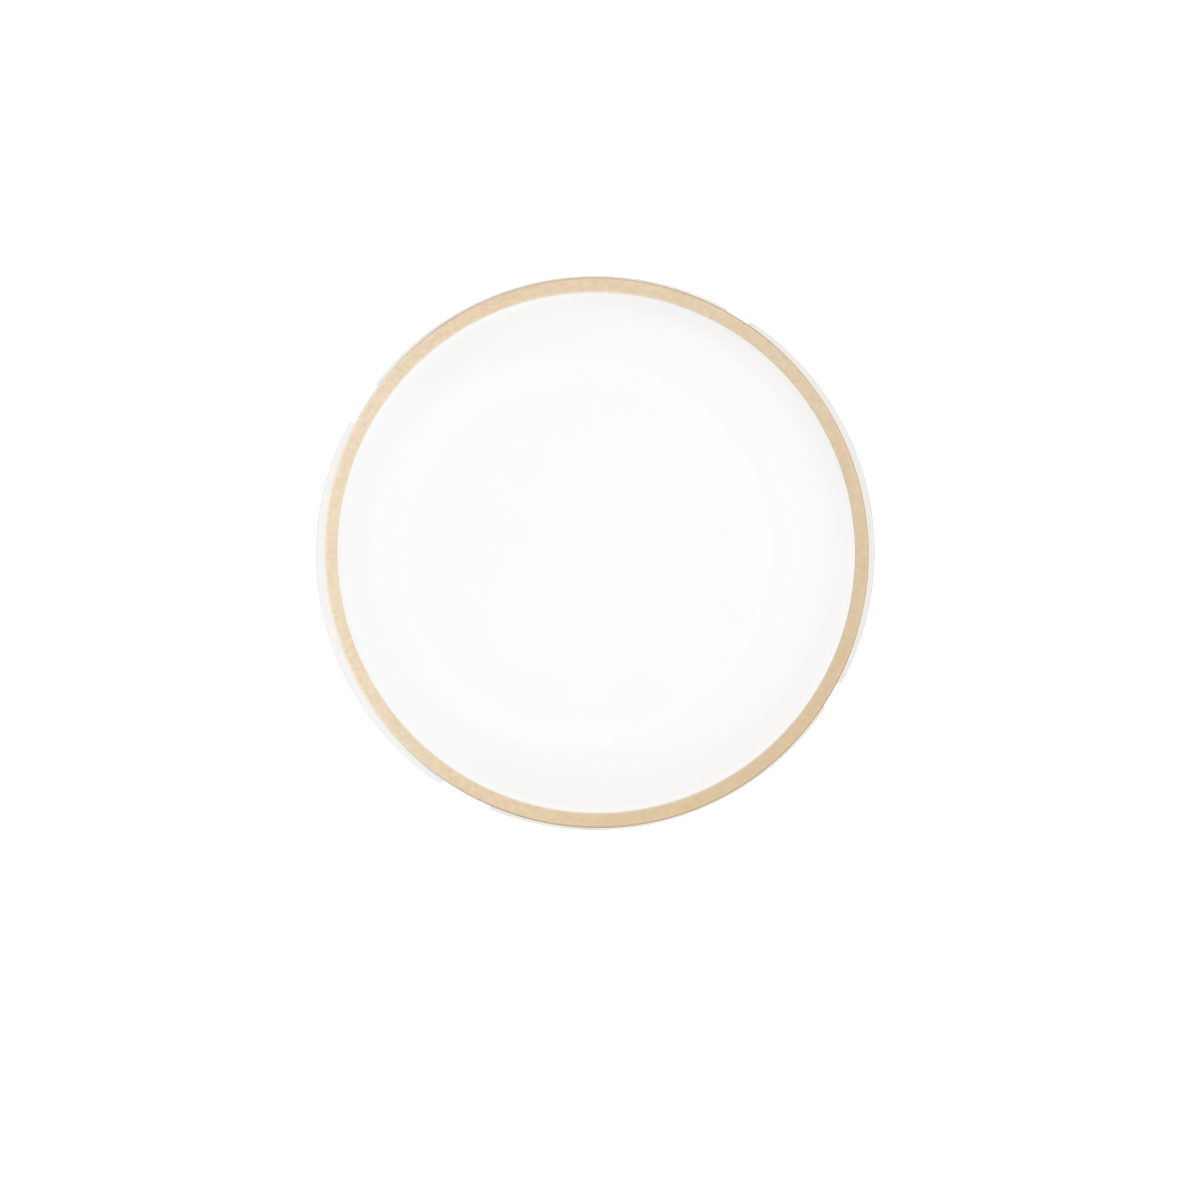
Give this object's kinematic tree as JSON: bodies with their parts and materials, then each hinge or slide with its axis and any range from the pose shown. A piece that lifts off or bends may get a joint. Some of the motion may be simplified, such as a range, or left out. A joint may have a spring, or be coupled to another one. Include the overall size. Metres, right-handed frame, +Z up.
{
  "type": "dinner plate",
  "caption": "Round coupe dinner plate in white glazed china, with a satin gold band on a narrow rim land and slim pale lips just outside the gold.",
  "frame": {"origin": "on the table, under the plate's centre, in the plane of the foot ring's contact face", "axes": "+Z up out of the dish, +X through the middle of a broad lip, +Y through the middle of a slim lip"},
  "size_m": [0.27, 0.2676, 0.0236],
  "materials": {
    "bisque": "matte",
    "glaze": "gloss",
    "gold": "satin"
  },
  "bodies": {
    "root": {"porcelain_body": "bisque", "face_glaze": "glaze", "base_glaze": "glaze", "gold_band": "gold"}
  },
  "joints": []
}
